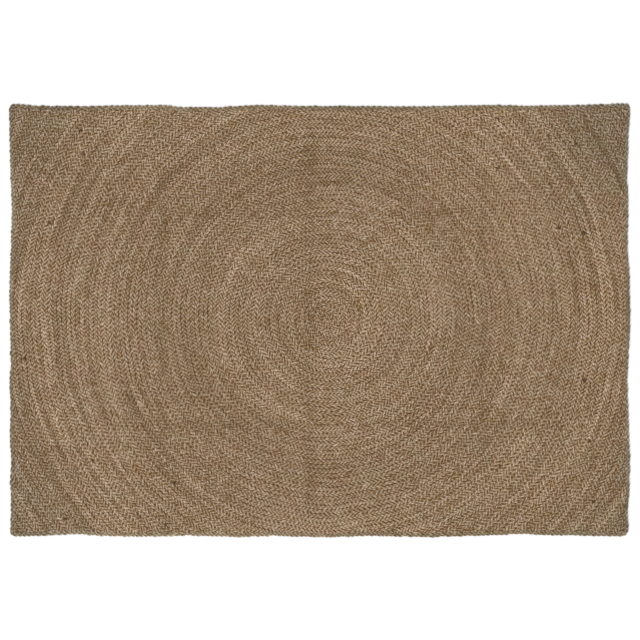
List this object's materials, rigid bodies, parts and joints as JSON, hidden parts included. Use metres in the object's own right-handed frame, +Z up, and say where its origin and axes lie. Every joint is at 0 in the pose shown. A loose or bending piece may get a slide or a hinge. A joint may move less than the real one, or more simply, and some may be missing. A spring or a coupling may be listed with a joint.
{
  "type": "braided jute rug",
  "caption": "Flat rectangular rug of one natural jute braid wound in near-round rings and cut square, with a braid sewn round its wavy edge.",
  "frame": {"origin": "middle of the rug's footprint, on the floor that it lies on", "axes": "+X along the long side, +Y along the short side, +Z up out of the face that shows"},
  "size_m": [2.3102, 1.6134, 0.009],
  "materials": {
    "jute_field": "undyed jute, three-strand braids with a matt fibrous surface, warm tan with darker gaps between strands",
    "jute_border": "undyed jute braid, matt and fibrous, a little greyer than the field"
  },
  "bodies": {
    "root": {"braided_field": "jute_field", "border_braid": "jute_border"}
  },
  "joints": []
}
